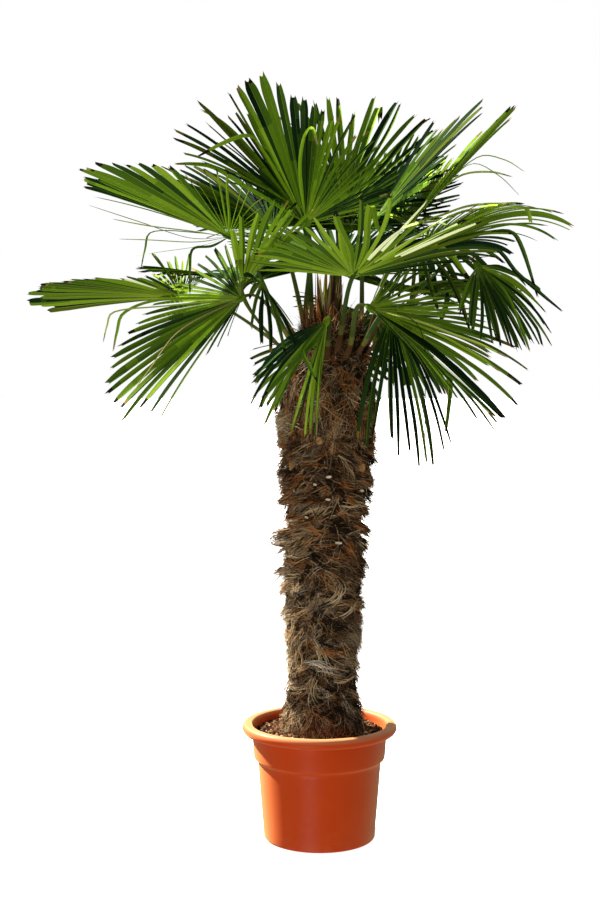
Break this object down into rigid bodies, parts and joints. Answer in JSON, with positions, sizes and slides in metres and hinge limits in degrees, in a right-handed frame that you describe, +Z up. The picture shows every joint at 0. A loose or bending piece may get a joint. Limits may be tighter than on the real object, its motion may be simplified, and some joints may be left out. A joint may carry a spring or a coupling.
{
  "type": "potted windmill palm",
  "caption": "Windmill palm in a round nursery pot: fibre-covered trunk with a crown of stiff fan fronds on slim stalks.",
  "frame": {"origin": "centre of the pot's flat underside", "axes": "+Z up the trunk, front of the plant towards -Y"},
  "size_m": [1.8234, 1.7698, 2.5727],
  "materials": {
    "pot": "smooth moulded plastic with a soft sheen",
    "soil": "loose bark mulch over potting soil",
    "trunk": "shaggy brown fibre over wood",
    "spear": "unopened leaf spears with brown fibre",
    "stalk": "smooth green leaf stalk",
    "leaf": "pleated green leaf"
  },
  "bodies": {
    "root": {"fan_back_left": "leaf", "fan_back_left_high": "leaf", "fan_back_low": "leaf", "fan_back_mid": "leaf", "fan_back_right": "leaf", "fan_back_right_high": "leaf", "fan_back_right_low": "leaf", "fan_front": "leaf", "fan_left_far": "leaf", "fan_left_hang": "leaf", "fan_left_high": "leaf", "fan_left_low": "leaf", "fan_left_small": "leaf", "fan_left_up": "leaf", "fan_right_bright": "leaf", "fan_right_drop": "leaf", "fan_right_hang": "leaf", "fan_right_high": "leaf", "fan_right_low": "leaf", "fan_right_mid": "leaf", "fan_top_back": "leaf", "fan_top_dark": "leaf", "fan_top_left": "leaf", "pot": "pot", "soil": "soil", "spears": "spear", "stalk_back_left": "stalk", "stalk_back_left_high": "stalk", "stalk_back_low": "stalk", "stalk_back_mid": "stalk", "stalk_back_right": "stalk", "stalk_back_right_high": "stalk", "stalk_back_right_low": "stalk", "stalk_front": "stalk", "stalk_left_far": "stalk", "stalk_left_hang": "stalk", "stalk_left_high": "stalk", "stalk_left_low": "stalk", "stalk_left_small": "stalk", "stalk_left_up": "stalk", "stalk_right_bright": "stalk", "stalk_right_drop": "stalk", "stalk_right_hang": "stalk", "stalk_right_high": "stalk", "stalk_right_low": "stalk", "stalk_right_mid": "stalk", "stalk_top_back": "stalk", "stalk_top_dark": "stalk", "stalk_top_left": "stalk", "trunk": "trunk"}
  },
  "joints": []
}
